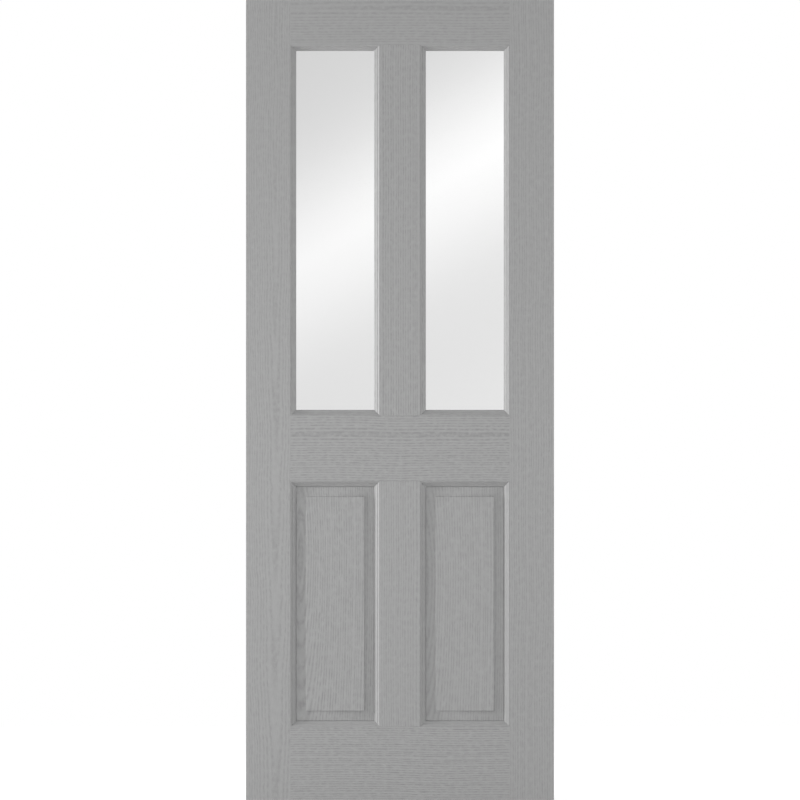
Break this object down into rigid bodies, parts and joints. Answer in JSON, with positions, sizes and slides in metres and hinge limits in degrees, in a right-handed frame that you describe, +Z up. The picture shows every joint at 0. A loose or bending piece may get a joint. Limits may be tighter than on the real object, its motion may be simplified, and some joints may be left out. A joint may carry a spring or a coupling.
{
  "type": "glazed interior door leaf",
  "caption": "Panelled and glazed interior door leaf, painted grey over visible wood grain: upper half glazed, lower half in raised and fielded panels.",
  "frame": {"origin": "on the hanging edge, at the bottom of the leaf and the middle of its thickness", "axes": "+Z up along the leaf, +X across the leaf from the hanging edge to the lock edge, -Y out of the front"},
  "size_m": [0.762, 0.035, 1.981],
  "materials": {
    "painted_wood": "satin",
    "clear_glass": "polished",
    "glazing_tape": "matte"
  },
  "bodies": {
    "root": {"bottom_rail": "painted_wood", "glazing_tape": "glazing_tape", "hanging_stile": "painted_wood", "left_glazing_bead_back_bottom": "painted_wood", "left_glazing_bead_back_left": "painted_wood", "left_glazing_bead_back_right": "painted_wood", "left_glazing_bead_back_top": "painted_wood", "left_glazing_bead_front_bottom": "painted_wood", "left_glazing_bead_front_left": "painted_wood", "left_glazing_bead_front_right": "painted_wood", "left_glazing_bead_front_top": "painted_wood", "left_pane": "clear_glass", "left_panel": "painted_wood", "left_panel_moulding_back_bottom": "painted_wood", "left_panel_moulding_back_left": "painted_wood", "left_panel_moulding_back_right": "painted_wood", "left_panel_moulding_back_top": "painted_wood", "left_panel_moulding_front_bottom": "painted_wood", "left_panel_moulding_front_left": "painted_wood", "left_panel_moulding_front_right": "painted_wood", "left_panel_moulding_front_top": "painted_wood", "lock_stile": "painted_wood", "lower_muntin": "painted_wood", "middle_rail": "painted_wood", "right_glazing_bead_back_bottom": "painted_wood", "right_glazing_bead_back_left": "painted_wood", "right_glazing_bead_back_right": "painted_wood", "right_glazing_bead_back_top": "painted_wood", "right_glazing_bead_front_bottom": "painted_wood", "right_glazing_bead_front_left": "painted_wood", "right_glazing_bead_front_right": "painted_wood", "right_glazing_bead_front_top": "painted_wood", "right_pane": "clear_glass", "right_panel": "painted_wood", "right_panel_moulding_back_bottom": "painted_wood", "right_panel_moulding_back_left": "painted_wood", "right_panel_moulding_back_right": "painted_wood", "right_panel_moulding_back_top": "painted_wood", "right_panel_moulding_front_bottom": "painted_wood", "right_panel_moulding_front_left": "painted_wood", "right_panel_moulding_front_right": "painted_wood", "right_panel_moulding_front_top": "painted_wood", "top_rail": "painted_wood", "upper_muntin": "painted_wood"}
  },
  "joints": []
}
